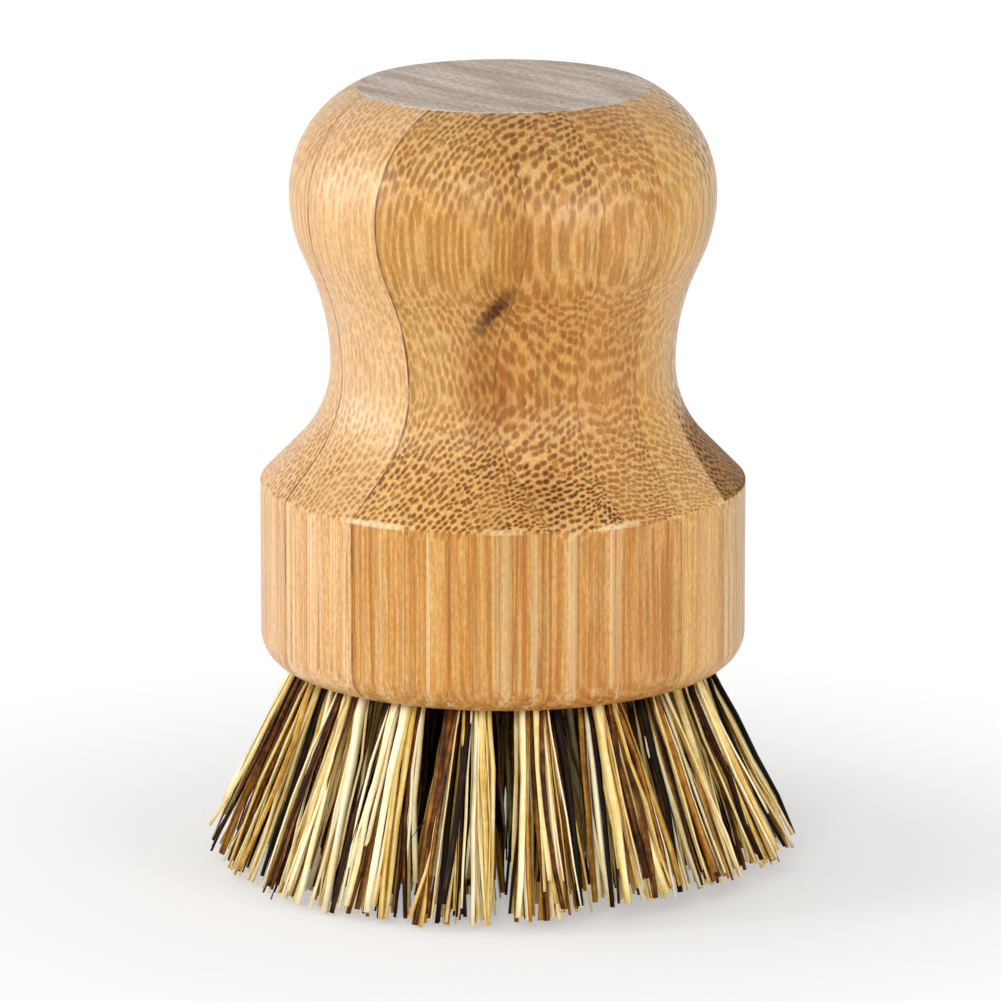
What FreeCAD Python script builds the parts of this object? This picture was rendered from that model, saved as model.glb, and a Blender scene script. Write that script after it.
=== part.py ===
"""Palm-grip dish brush: a turned, slat-laminated bamboo block with fanned tufts of plant fibre.

The block is glued up from flat bamboo slats, turned to a knob with a waist and a rim, and drilled from below.
Each hole holds one tuft, folded over a flat-wire anchor that bites into the bamboo.
Frame: +Z up, origin on the block's axis in the plane that the bristle tips stand on. Millimetres and degrees.
"""

import FreeCAD
import Part
import Sketcher

import math
import os

from FreeCAD import Placement, Rotation, Vector

# Driving dimensions: alias, amount, what it is
SIZES = [
    ("bristle_length", 23.8, "block face to bristle tips"),
    ("rim_height", 21.0, "block face to the top of the rim's straight wall"),
    ("skirt_height", 13.6, "top of the rim's wall to the waist"),
    ("neck_height", 19.6, "waist to the widest part of the knob"),
    ("crown_height", 12.0, "widest part of the knob to the flat top"),
    ("rim_radius", 27.5, "straight wall of the rim"),
    ("flare_width", 8.0, "rim radius less waist radius"),
    ("knob_swell", 4.6, "knob radius less waist radius"),
    ("flat_inset", 7.75, "knob radius less flat-top radius"),
    ("knob_round", 17.5, "radius of the knob's underside"),
    ("skirt_slope", 44.6, "slope of the skirt, from the axis"),
    ("rim_edge_round", 0.4, "softened edge between skirt and rim"),
    ("lower_round", 3.7, "rounded lower edge of the rim"),
    ("layer_thickness", 8.2, "thickness of one slat layer"),
    ("layer_offset", 1.0, "middle layer's centre from the axis"),
    ("slat_width", 11.8, "step of the joints between slats"),
    ("slat_turn", -140.0, "plan angle of the layers' stacking direction"),
    ("stock_margin", 1.5, "glued-up stock outside the turned rim"),
    ("hole_diameter", 4.6, "tuft hole"),
    ("hole_depth", 9.0, "full-diameter depth of a tuft hole"),
    ("drill_point", 118.0, "included angle of the drill's point"),
    ("edge_margin", 2.4, "least distance of a hole's centre from the edge of the block's face"),
    ("hole_wall", 2.45, "bamboo between the holes of two rings, at the face"),
    ("splay", 19.0, "lean of the outer tufts, from the axis"),
    ("tuft_clearance", 0.1, "tuft shank to hole wall"),
    ("fold_clearance", 0.2, "tuft fold to the end of the hole"),
    ("tuft_gap", 0.4, "between neighbouring tufts at the tips"),
    ("strand_radius", 0.42, "circumscribed radius of one strand"),
    ("strand_sides", 5, "faces round one strand"),
    ("strand_rings", 2, "rings of strands round a tuft's centre strand"),
    ("strand_root", 1.2, "length of a strand that stays in the hole"),
    ("trim_allowance", 1.0, "strand stock that the trimming cuts off"),
    ("anchor_thickness", 0.5, "flat wire of the anchor"),
    ("anchor_height", 2.0, "anchor along the hole"),
    ("anchor_bite", 0.4, "anchor end into the bamboo, each side"),
    ("anchor_depth", 5.6, "block face to the anchor's lower edge"),
]

doc = FreeCAD.newDocument("palm_dish_brush")
sheet = doc.addObject("Spreadsheet::Sheet", "sizes")
for row, (alias, amount, meaning) in enumerate(SIZES, start=1):
    sheet.set(f"A{row}", alias)
    sheet.set(f"B{row}", str(amount))
    sheet.set(f"C{row}", meaning)
    sheet.setAlias(f"B{row}", alias)
doc.recompute()

# Sizes that follow from the sheet, as expressions
WAIST_RADIUS = "sizes.rim_radius - sizes.flare_width"
KNOB_RADIUS = f"{WAIST_RADIUS} + sizes.knob_swell"
FLAT_RADIUS = f"{KNOB_RADIUS} - sizes.flat_inset"
RIM_TOP = "sizes.bristle_length + sizes.rim_height"
WAIST_LEVEL = f"{RIM_TOP} + sizes.skirt_height"
KNOB_LEVEL = f"{WAIST_LEVEL} + sizes.neck_height"
TOP_LEVEL = f"{KNOB_LEVEL} + sizes.crown_height"
HOLE_RADIUS = "sizes.hole_diameter / 2"
SHANK_RADIUS = f"{HOLE_RADIUS} - sizes.tuft_clearance"
ANCHOR_LENGTH = "sizes.hole_diameter + 2 * sizes.anchor_bite"
STOCK_RADIUS = "sizes.rim_radius + sizes.stock_margin"
UP = Vector(0, 0, 1)


def value(expression):
    """Number that an expression on the sheet's cells gives."""
    return float(sheet.evalExpression(expression))


def size(alias):
    """Number in one cell of the sheet."""
    return float(sheet.get(alias))


def bind(thing, **expressions):
    """Bind properties of an object to expressions on the sheet's cells."""
    for name, expression in expressions.items():
        thing.setExpression(name, expression)
    return thing


def origin_feature(body, role):
    """One of a body's own origin planes or axes."""
    return next(item for item in body.Origin.OriginFeatures if item.Role == role)


rim_radius = size("rim_radius")
waist_radius = value(WAIST_RADIUS)
knob_radius = value(KNOB_RADIUS)
flat_radius = value(FLAT_RADIUS)
face_level = size("bristle_length")
rim_top = value(RIM_TOP)
waist_level = value(WAIST_LEVEL)
knob_level = value(KNOB_LEVEL)
top_level = value(TOP_LEVEL)
hole_radius = value(HOLE_RADIUS)
shank_radius = value(SHANK_RADIUS)

# The face has as many rings of tufts round its centre tuft as fit inside its margin.
# The tufts fan out, so that the tips keep an even pitch too.
hole_pitch = size("hole_diameter") + size("hole_wall")
tuft_rings = int((rim_radius - size("lower_round") - size("edge_margin")) / hole_pitch)
outer_ring_radius = tuft_rings * hole_pitch
outer_tip_radius = outer_ring_radius + face_level * math.tan(math.radians(size("splay")))
tip_pitch = outer_tip_radius / tuft_rings


def places_in_ring(ring):
    """Plan angles of a ring's places: 6 in the first ring, 12 in the next and so on, and 1 in the centre."""
    count = max(1, 6 * ring)
    step = 360.0 / count
    return [-90.0 + step * (index + 0.5) for index in range(count)]


def outline_sketch(body):
    """Half outline of the turned block, in the XZ plane."""
    slope = math.radians(size("skirt_slope"))
    edge = size("rim_edge_round")
    lower = size("lower_round")
    knob_round = size("knob_round")
    swell = size("knob_swell")
    neck = size("neck_height")
    # The underside of the knob and the upper waist are two arcs that meet where they change side
    waist_round = (swell**2 + neck**2) / (2 * swell) - knob_round
    turn = math.asin(neck / (knob_round + waist_round))
    inset = size("flat_inset")
    crown_round = (inset**2 + size("crown_height") ** 2) / (2 * inset)
    crown_turn = math.asin(size("crown_height") / crown_round)
    # The rim's edge round starts on the straight wall and ends on the skirt's slope
    edge_end = Vector(rim_radius - edge + edge * math.cos(slope), rim_top + edge * math.sin(slope), 0)
    rise = waist_level - edge_end.y
    skirt_round = (rise * math.tan(slope) - (edge_end.x - waist_radius)) / (1 / math.cos(slope) - 1)
    skirt_end = Vector(
        waist_radius + skirt_round * (1 - math.cos(slope)),
        waist_level - skirt_round * math.sin(slope),
        0,
    )

    def arc(centre_x, centre_y, radius, start, end):
        circle = Part.Circle(Vector(centre_x, centre_y, 0), UP, radius)
        return Part.ArcOfCircle(circle, start, end)

    def line(x0, y0, x1, y1):
        return Part.LineSegment(Vector(x0, y0, 0), Vector(x1, y1, 0))

    sketch = body.newObject("Sketcher::SketchObject", "outline")
    sketch.AttachmentSupport = [(origin_feature(body, "XZ_Plane"), "")]
    sketch.MapMode = "FlatFace"
    half_turn = math.pi
    add = sketch.addGeometry
    flat = add(line(0, top_level, flat_radius, top_level), False)
    crown = add(arc(knob_radius - crown_round, knob_level, crown_round, 0, crown_turn), False)
    knob = add(arc(knob_radius - knob_round, knob_level, knob_round, -turn, 0), False)
    waist = add(
        arc(waist_radius + waist_round, waist_level, waist_round, half_turn - turn, half_turn), False
    )
    flare = add(
        arc(waist_radius + skirt_round, waist_level, skirt_round, half_turn, half_turn + slope), False
    )
    skirt = add(line(skirt_end.x, skirt_end.y, edge_end.x, edge_end.y), False)
    softened = add(arc(rim_radius - edge, rim_top, edge, 0, slope), False)
    wall = add(line(rim_radius, rim_top, rim_radius, face_level + lower), False)
    rounded = add(arc(rim_radius - lower, face_level + lower, lower, 1.5 * math.pi, 2 * math.pi), False)
    face = add(line(rim_radius - lower, face_level, 0, face_level), False)
    axis = add(line(0, face_level, 0, top_level), False)

    start, end, centre = 1, 2, 3
    origin, origin_point, upright = -1, 1, -2

    def constrain(*terms):
        return sketch.addConstraint(Sketcher.Constraint(*terms))

    def dimension(name, expression, *terms):
        index = constrain(*terms)
        sketch.renameConstraint(index, name)
        sketch.setExpression(f"Constraints.{name}", expression)

    constrain("Coincident", flat, end, crown, end)
    constrain("Coincident", crown, start, knob, end)
    constrain("Tangent", knob, start, waist, start)
    constrain("Coincident", waist, end, flare, start)
    constrain("Tangent", flare, end, skirt, start)
    constrain("Tangent", skirt, end, softened, end)
    constrain("Tangent", softened, start, wall, start)
    constrain("Tangent", wall, end, rounded, end)
    constrain("Tangent", rounded, start, face, start)
    constrain("Coincident", face, end, axis, start)
    constrain("Coincident", axis, end, flat, start)
    constrain("Horizontal", flat)
    constrain("Horizontal", face)
    constrain("Vertical", wall)
    constrain("PointOnObject", axis, start, upright)
    constrain("PointOnObject", axis, end, upright)
    # Each swell and waist is upright at its widest or narrowest point
    constrain("Horizontal", crown, centre, crown, start)
    constrain("Horizontal", knob, centre, knob, end)
    constrain("Horizontal", waist, centre, waist, end)
    constrain("Horizontal", flare, centre, flare, start)

    across = ("DistanceX", origin, origin_point)
    above = ("DistanceY", origin, origin_point)
    dimension("flat_radius", FLAT_RADIUS, *across, flat, end, flat_radius)
    dimension("top_level", TOP_LEVEL, *above, flat, end, top_level)
    dimension("knob_radius", KNOB_RADIUS, *across, knob, end, knob_radius)
    dimension("knob_level", KNOB_LEVEL, *above, knob, end, knob_level)
    dimension("knob_round", "sizes.knob_round", "Radius", knob, knob_round)
    dimension("waist_radius", WAIST_RADIUS, *across, waist, end, waist_radius)
    dimension("waist_level", WAIST_LEVEL, *above, waist, end, waist_level)
    dimension("skirt_fall", "sizes.skirt_slope * 1 deg - 90 deg", "Angle", skirt, slope - math.pi / 2)
    dimension("rim_edge_round", "sizes.rim_edge_round", "Radius", softened, edge)
    dimension("rim_radius", "sizes.rim_radius", *across, wall, start, rim_radius)
    dimension("rim_top", RIM_TOP, *above, wall, start, rim_top)
    dimension("lower_round", "sizes.lower_round", "Radius", rounded, lower)
    dimension("face_level", "sizes.bristle_length", *above, face, end, face_level)
    return sketch


def hole_frame(ring, angle):
    """Frame of a tuft hole: origin in the block's face, Z up the hole, X away from the block's axis."""
    lean = math.atan2(ring * (tip_pitch - hole_pitch), face_level)
    turn = Rotation(UP, angle)
    mouth = turn.multVec(Vector(ring * hole_pitch, 0, face_level))
    return Placement(mouth, turn * Rotation(Vector(0, 1, 0), -math.degrees(lean)))


def along_hole(frame, x, y, z):
    """Place of a tool in a hole's frame."""
    return frame * Placement(Vector(x, y, z), Rotation())


def anchor_place(frame):
    """Corner of the anchor that lies across a hole."""
    length = value(ANCHOR_LENGTH)
    return along_hole(frame, -size("anchor_thickness") / 2, -length / 2, size("anchor_depth"))


def bind_anchor(box):
    return bind(
        box, Length="sizes.anchor_thickness", Width=ANCHOR_LENGTH, Height="sizes.anchor_height"
    )


def cut(name, base, tool):
    result = doc.addObject("Part::Cut", name)
    result.Base = base
    result.Tool = tool
    return result


def turned_body():
    """The glued-up block after turning."""
    body = doc.addObject("PartDesign::Body", "turned_block")
    sketch = outline_sketch(body)
    turning = body.newObject("PartDesign::Revolution", "turning")
    turning.Profile = sketch
    turning.ReferenceAxis = (sketch, ["V_Axis"])
    turning.Angle = 360
    return body


def hole_pattern(ring):
    """One hole of a ring, drawn on the +X side: bore, drill point and the slit that the anchor bites."""
    frame = hole_frame(ring, 0)
    bore = doc.addObject("Part::Cylinder", f"bore_{ring}")
    bind(bore, Radius=HOLE_RADIUS, Height=f"sizes.hole_depth + {HOLE_RADIUS}")
    bore.Placement = along_hole(frame, 0, 0, -hole_radius)
    point = doc.addObject("Part::Cone", f"drill_point_{ring}")
    bind(point, Radius1=HOLE_RADIUS, Height=f"{HOLE_RADIUS} / tan(sizes.drill_point * 0.5 deg)")
    point.Radius2 = 0
    point.Placement = along_hole(frame, 0, 0, size("hole_depth"))
    slit = bind_anchor(doc.addObject("Part::Box", f"anchor_slit_{ring}"))
    slit.Placement = anchor_place(frame)
    hole = doc.addObject("Part::MultiFuse", f"hole_{ring}")
    hole.Shapes = [bore, point, slit]
    return hole


def round_the_ring(pattern, ring):
    """Copies of a pattern's shape, one at each place of its ring."""
    return [pattern.Shape.rotated(Vector(), UP, angle) for angle in places_in_ring(ring)]


def drilled_block():
    """The turned block with every tuft hole, still in one piece."""
    body = turned_body()
    patterns = [hole_pattern(ring) for ring in range(tuft_rings + 1)]
    doc.recompute()
    holes = doc.addObject("Part::Feature", "tuft_holes")
    holes.Shape = Part.makeCompound(
        [hole for ring, pattern in enumerate(patterns) for hole in round_the_ring(pattern, ring)]
    )
    block = cut("drilled_block", body, holes)
    doc.recompute()
    return block


def slat_stock(name, layer_edges, joint_edges):
    """Flat bamboo slat before turning, between edges along and across the stack, lower edge first."""
    box = doc.addObject("Part::Box", name)
    bind(
        box,
        Length=f"({layer_edges[1]}) - ({layer_edges[0]})",
        Width=f"({joint_edges[1]}) - ({joint_edges[0]})",
        Height=f"{TOP_LEVEL} - sizes.bristle_length + 2 * sizes.stock_margin",
    )
    turn = Rotation(UP, size("slat_turn"))
    corner = Vector(
        value(layer_edges[0]), value(joint_edges[0]), face_level - size("stock_margin")
    )
    box.Placement = Placement(turn.multVec(corner), turn)
    return box


def bamboo_slats(block):
    """The block divided along its glue lines: five layers, with the joints of each layer staggered."""
    glue_lines = [f"sizes.layer_offset + {step} * sizes.layer_thickness" for step in (1.5, 0.5, -0.5, -1.5)]
    layers = [STOCK_RADIUS, *glue_lines, f"-({STOCK_RADIUS})"]
    joint_steps = [(-0.5, 0.5), (-1, 1), (0,), (-1, 1), (-0.5, 0.5)]
    slats = []
    for number, steps in enumerate(joint_steps, start=1):
        joints = [f"{step} * sizes.slat_width" for step in steps]
        edges = [f"-({STOCK_RADIUS})", *joints, STOCK_RADIUS]
        for letter, low, high in zip("abc", edges, edges[1:]):
            name = f"bamboo_slat_{number}{letter}"
            slat = doc.addObject("Part::Common", name)
            slat.Base = block
            layer = (layers[number], layers[number - 1])
            slat.Tool = slat_stock(f"stock_{number}{letter}", layer, (low, high))
            slats.append(slat)
    doc.recompute()
    return slats


def slab(name, bottom, height):
    """Wide slab that trims everything between two levels."""
    box = doc.addObject("Part::Box", name)
    across = f"2 * ({STOCK_RADIUS} + sizes.bristle_length)"
    bind(box, Length=across, Width=across, Height=height)
    half = value(across) / 2
    box.Placement = Placement(Vector(-half, -half, bottom), Rotation())
    return box


def tuft_shank(ring, frame, under_face):
    """The part of a tuft that fills its hole, from the fold in the drill point to the block's face."""
    stem_length = "sizes.hole_depth - sizes.fold_clearance"
    stem = doc.addObject("Part::Cylinder", f"stem_{ring}")
    bind(stem, Radius=SHANK_RADIUS, Height=f"{stem_length} + {SHANK_RADIUS}")
    stem.Placement = along_hole(frame, 0, 0, -shank_radius)
    fold = doc.addObject("Part::Cone", f"fold_{ring}")
    half = f"({SHANK_RADIUS}) / 2"
    bind(fold, Radius1=SHANK_RADIUS, Radius2=half, Height=f"{half} / tan(sizes.drill_point * 0.5 deg)")
    fold.Placement = along_hole(frame, 0, 0, value(stem_length))
    shank = doc.addObject("Part::Fuse", f"shank_{ring}")
    shank.Base = stem
    shank.Tool = fold
    return cut(f"level_shank_{ring}", shank, under_face)


def tuft_strands(ring, frame):
    """Strands of one tuft, in rings round a centre strand, fanned from the hole to the tips."""
    strand_radius = size("strand_radius")
    tip_reach = (tip_pitch - size("tuft_gap")) / 2 - strand_radius
    mouth_reach = shank_radius - strand_radius
    tip_centre = Vector(ring * tip_pitch, 0, 0)
    strand_rings = int(size("strand_rings"))
    strands = []
    for strand_ring in range(strand_rings + 1):
        share = strand_ring / strand_rings
        for angle in places_in_ring(strand_ring):
            spoke = Rotation(UP, angle).multVec(Vector(share, 0, 0))
            mouth = frame.multVec(spoke * mouth_reach)
            run = tip_centre + spoke * tip_reach - mouth
            lean = Rotation(UP, run)
            strand = doc.addObject("Part::Prism", f"strand_{ring}_{len(strands):02d}")
            strand.Polygon = int(size("strand_sides"))
            stretch = run.Length / face_level
            bind(
                strand,
                Circumradius="sizes.strand_radius",
                Height=f"{stretch} * sizes.bristle_length + sizes.strand_root + sizes.trim_allowance",
            )
            root = mouth - lean.multVec(UP) * size("strand_root")
            strand.Placement = Placement(root, lean)
            strands.append(strand)
    return strands


def tuft_pattern(ring, under_face, under_tips):
    """One tuft of a ring, drawn on the +X side: shank and strands, trimmed and slotted for its anchor."""
    frame = hole_frame(ring, 0)
    bundle = doc.addObject("Part::MultiFuse", f"bundle_{ring}")
    bundle.Shapes = [tuft_shank(ring, frame, under_face), *tuft_strands(ring, frame)]
    slot = bind_anchor(doc.addObject("Part::Box", f"anchor_slot_{ring}"))
    slot.Placement = anchor_place(frame)
    trimmed = cut(f"trimmed_{ring}", bundle, under_tips)
    return cut(f"tuft_pattern_{ring}", trimmed, slot)


def tufts_and_anchors():
    """Every tuft as a piece of its own, and all the anchors as one group."""
    under_face = slab("under_face", 0, "sizes.bristle_length")
    under_tips = slab("under_tips", -face_level, "sizes.bristle_length")
    tufts = []
    anchors = []
    for ring in range(tuft_rings + 1):
        pattern = tuft_pattern(ring, under_face, under_tips)
        doc.recompute()
        for index, angle in enumerate(places_in_ring(ring), start=1):
            name = f"tuft_ring{ring}_{index:02d}" if ring else "tuft_centre"
            tuft = doc.addObject("Part::Feature", name)
            tuft.Shape = pattern.Shape
            tuft.Placement = Placement(Vector(), Rotation(UP, angle))
            tufts.append(tuft)
            anchor = bind_anchor(doc.addObject("Part::Box", f"anchor_{ring}_{index:02d}"))
            anchor.Placement = anchor_place(hole_frame(ring, angle))
            anchors.append(anchor)
    group = doc.addObject("Part::Compound", "tuft_anchors")
    group.Links = anchors
    doc.recompute()
    return [*tufts, group]


def write_nodes(nodes):
    """Check the document and write one file per piece."""
    failed = [item.Name for item in doc.Objects if {"Invalid", "Error"} & set(item.State)]
    if failed:
        raise RuntimeError(f"features that failed: {failed}")
    for node in nodes:
        if node.Shape.isNull() or not node.Shape.isValid() or not node.Shape.Solids:
            raise RuntimeError(f"piece without a sound solid: {node.Label}")
    os.makedirs("parts", exist_ok=True)
    for node in nodes:
        node.Shape.exportStep(f"parts/{node.Label}.step")
        print(f"{node.Label}: {len(node.Shape.Solids)} solid, {node.Shape.Volume:.1f} mm3")


block = drilled_block()
write_nodes([*bamboo_slats(block), *tufts_and_anchors()])
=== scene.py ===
"""Looks for the palm dish brush: laminated bamboo, fibre tufts, a pale floor and soft studio light.

The CAD solids give the bamboo slats and the wire anchors. Each tuft of the frame is shown as separate fibres.
Sizes in the tables are in millimetres, and the frame is in metres.
"""

import math
import random

import bmesh
import bpy
from mathutils import Matrix, Vector


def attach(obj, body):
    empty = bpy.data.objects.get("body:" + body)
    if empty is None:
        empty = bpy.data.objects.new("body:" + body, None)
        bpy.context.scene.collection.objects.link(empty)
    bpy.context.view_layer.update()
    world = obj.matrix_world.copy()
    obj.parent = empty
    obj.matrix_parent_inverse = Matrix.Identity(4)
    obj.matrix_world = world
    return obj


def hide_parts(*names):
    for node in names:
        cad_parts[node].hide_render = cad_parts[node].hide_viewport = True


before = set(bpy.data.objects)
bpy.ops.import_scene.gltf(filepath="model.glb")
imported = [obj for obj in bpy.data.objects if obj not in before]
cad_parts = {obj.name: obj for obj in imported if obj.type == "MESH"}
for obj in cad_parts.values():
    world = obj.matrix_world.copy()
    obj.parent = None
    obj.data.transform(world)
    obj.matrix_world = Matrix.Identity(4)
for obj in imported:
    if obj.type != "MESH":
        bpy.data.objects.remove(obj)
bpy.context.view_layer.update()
scene = bpy.context.scene
MM = 0.001

# Glue lines of the block, in the slats' own axes: across the layers, and along them
SLAT_TURN = math.radians(140)
BEYOND_BLOCK = 40.0
LAYER_EDGES = (BEYOND_BLOCK, 13.3, 5.1, -3.1, -11.3, -BEYOND_BLOCK)
JOINTS = ((-5.9, 5.9), (-11.8, 11.8), (0.0,), (-11.8, 11.8), (-5.9, 5.9))
RIM_TOP = 44.8
RIM_RADIUS = 27.5
FLAT_TOP = 90.0


def shade(red, green, blue):
    """Colour from the three amounts, 0 to 255, that a screen shows."""
    def linear(amount):
        amount /= 255
        return amount / 12.92 if amount < 0.04045 else ((amount + 0.055) / 1.055) ** 2.4

    return (linear(red), linear(green), linear(blue), 1.0)


def feed(tree, socket, source):
    """Link a socket to another one, or set it to a constant."""
    if isinstance(source, bpy.types.NodeSocket):
        tree.links.new(source, socket)
    else:
        socket.default_value = source


def add(tree, kind, inputs=(), **settings):
    """Add a node with its settings, and feed its inputs by name or number."""
    node = tree.nodes.new(kind)
    for name, setting in settings.items():
        setattr(node, name, setting)
    for key, source in dict(inputs).items():
        feed(tree, node.inputs[key], source)
    return node


def maths(tree, operation, *terms):
    return add(tree, "ShaderNodeMath", enumerate(terms), operation=operation).outputs[0]


def vector_maths(tree, operation, *terms):
    return add(tree, "ShaderNodeVectorMath", enumerate(terms), operation=operation).outputs[0]


def times(tree, first, second):
    return maths(tree, "MULTIPLY", first, second)


def minus(tree, first, second):
    return maths(tree, "SUBTRACT", first, second)


def parts(tree, vector):
    return add(tree, "ShaderNodeSeparateXYZ", {0: vector}).outputs


def length(tree, vector):
    return add(tree, "ShaderNodeVectorMath", {0: vector}, operation="LENGTH").outputs[1]


def stretched(tree, vector, amount):
    return add(tree, "ShaderNodeVectorMath", {0: vector, "Scale": amount}, operation="SCALE").outputs[0]


def ease(tree, value, start, end, low=0.0, high=1.0):
    """Smooth step from low to high as the value goes from start to end."""
    inputs = {"Value": value, "From Min": start, "From Max": end, "To Min": low, "To Max": high}
    return add(tree, "ShaderNodeMapRange", inputs, interpolation_type="SMOOTHSTEP").outputs[0]


def mix(tree, share, first, second, blend="MIX"):
    node = add(tree, "ShaderNodeMix", data_type="RGBA", blend_type=blend)
    feed(tree, node.inputs[0], share)
    feed(tree, node.inputs[6], first)
    feed(tree, node.inputs[7], second)
    return node.outputs[2]


def noise(tree, place, stretch, detail=2.0, rough=0.5):
    """Noise whose grain along each axis is set by the stretch, in cycles per unit."""
    scaled = vector_maths(tree, "MULTIPLY", place, stretch)
    inputs = {"Vector": scaled, "Scale": 1.0, "Detail": detail, "Roughness": rough}
    return add(tree, "ShaderNodeTexNoise", inputs)


def drifted(tree, place, grain, reach, detail=2.0, rough=0.5):
    """Place shifted by noise, by up to half the reach along each axis."""
    drift = noise(tree, place, grain, detail, rough).outputs[1]
    drift = vector_maths(tree, "SUBTRACT", drift, (0.5, 0.5, 0.5))
    return vector_maths(tree, "ADD", place, vector_maths(tree, "MULTIPLY", drift, reach))


def ramp(tree, value, stops):
    """Colour that runs from stop to stop as the value grows. A stop is a place from 0 to 1 and a colour."""
    node = add(tree, "ShaderNodeValToRGB", {0: value})
    elements = node.color_ramp.elements
    elements.remove(elements[1])
    for position, colour in stops:
        element = elements[0] if position == stops[0][0] else elements.new(position)
        element.position = position
        element.color = colour
    return node.outputs[0]


def new_group(name, inputs, outputs):
    """Shader node group with named sockets. Returns the tree, its input sockets and its output sockets."""
    tree = bpy.data.node_groups.new(name, "ShaderNodeTree")
    for label, kind in inputs:
        tree.interface.new_socket(label, in_out="INPUT", socket_type=f"NodeSocket{kind}")
    for label, kind in outputs:
        tree.interface.new_socket(label, in_out="OUTPUT", socket_type=f"NodeSocket{kind}")
    source = tree.nodes.new("NodeGroupInput").outputs
    sink = tree.nodes.new("NodeGroupOutput").inputs
    return tree, source, sink


def use_group(tree, group, inputs):
    node = tree.nodes.new("ShaderNodeGroup")
    node.node_tree = group
    for key, source in inputs.items():
        feed(tree, node.inputs[key], source)
    return node.outputs


# Height on the block, and half the closeness of the fibre bundles there. The cane has a node at the waist.
BUNDLE_CLOSENESS = ((44, 0.64), (58, 0.46), (70, 0.56), (90, 0.5))
# Height on the block, and how dark the bundles and how light the bamboo between them look there
BUNDLE_DARKNESS = (
    (25, 0.15),
    (28, 0.24),
    (44.6, 0.28),
    (44.9, 1.0),
    (51, 1.0),
    (57, 0.42),
    (70, 0.38),
    (78, 0.3),
    (84, 0.74),
)
BASE_LIGHTNESS = (
    (25, 0.95),
    (44.6, 0.96),
    (44.9, 0.94),
    (54, 0.9),
    (60, 0.9),
    (78, 0.92),
    (83, 0.88),
    (90, 0.8),
)
# Kind of bundle: spacing, and where in the slat it lies, from 0 at the fine edge to 1 at the coarse edge
BUNDLE_KINDS = ((1.12, 0.55, 3.0), (0.94, 0.21, 0.66), (0.8, -3.0, 0.33))
# How far the line between two kinds strays, as a share of the slat
KINDS_STRAY = 0.1
# Shares of the spacing: from row to row, least half width of a bundle, and how much that grows
ROW_STEP = math.sqrt(3) / 2
BUNDLE_HALF_WIDTH = 0.27
BUNDLE_GROWTH = 0.08
BUNDLE_UNEVENNESS = 0.5
# Least strength of a bundle, and how much more it may have
BUNDLE_STRENGTH = 0.7
BUNDLE_MORE = 0.3
# Bundles are a little longer across the layers than along them
BUNDLE_SHAPE = (0.8, 1.2, 0.0)
ROW_DRIFT = (1.4, 1.4, 0.0)
LEVEL_DRIFT = 6.0
STAIN_OR_SHADE_DRIFT = (2.4, 2.4, 3.6)

# Grain of each pattern, in cycles per millimetre across the layers, along them and up the block
ROW_GRAIN = (0.11, 0.11, 0.05)
LEVEL_GRAIN = (0.15, 0.15, 0.0)
CLOUD_GRAIN = (0.16, 0.16, 0.045)
STREAK_GRAIN = (3.2, 3.2, 0.10)
PORE_GRAIN = (3.6, 3.6, 1.2)
FADE_GRAIN = (0.3, 0.3, 0.1)
BAND_GRAIN = (0.66, 0.66, 0.004)
SPECK_GRAIN = (4.2, 4.2, 1.3)
GLUE_GRAIN = (0.35, 0.35, 0.22)
SAWN_GRAIN = (0.36, 0.05, 0.0)
EDGE_WEAR_AND_GLINT_GRAIN = (0.13, 0.13, 0.1)
STAIN_OR_SHADE_GRAIN = (0.9, 0.9, 0.35)
# Most of a noise lies between these values
NOISE_RANGE = (0.3, 0.7)

# Colours of the bamboo, besides those of each slat
# Pale cells round the bundles: paler bamboo with painted glints of the pores
PALE_CELL_AND_GLINT = shade(250, 211, 140)
DEEP_BAND = shade(238, 220, 182)
PALE_BAND = shade(230, 206, 158)
SPECK = shade(160, 98, 40)
GLUE = shade(96, 56, 22)
# Painted greyish reflection of the white surroundings on the flat top, and the bundles seen through it
REFLECTION_DEEP = shade(184, 168, 155)
REFLECTION_PALE = shade(226, 214, 206)
BUNDLE_UNDER_REFLECTION = shade(128, 108, 92)
# Pale line along the rim's upper edge: wear and a painted highlight
EDGE_WEAR_AND_GLINT = shade(246, 220, 176)
# Threads and splits of the rim: grain, detail and roughness of the noise, how thin they are, share, colour
RIM_LINES = (
    ((1.5, 1.5, 0.012), 2.0, 0.55, (0.006, 0.028), 0.75, shade(190, 114, 36)),
    ((0.7, 0.7, 0.006), 1.0, 0.5, (0.004, 0.018), 0.65, shade(146, 82, 24)),
)
# Fades: the values where each starts and ends, and the amounts at both
BUNDLE_FADE = (0.55, 1.25, 1.0, 0.0)
CELL_AND_GLINT_FADE = (0.36, 0.5, 0.0, 1.0)
WARM_FADE = (0.38, 0.62, 0.0, 1.0)
STREAK_FADE = (*NOISE_RANGE, 0.84, 1.06)
PORE_FADE = (*NOISE_RANGE, 0.8, 1.1)
FAINT_BUNDLES = (0.36, 0.6, 0.6, 1.0)
LINES_BY_CONTRAST = (0.4, 1.2, 0.25, 1.0)
DEEP_BAND_FADE = (0.36, 0.5, 0.6, 0.0)
PALE_BAND_FADE = (0.5, 0.64, 0.0, 0.48)
SPECK_FADE = (0.54, 0.68, 0.0, 0.26)
BROKEN_GLUE = (0.4, 0.6, 0.45, 1.0)
EDGE_WEAR_AND_GLINT_FADE = (0.48, 0.62, 0.0, 0.5)
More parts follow.
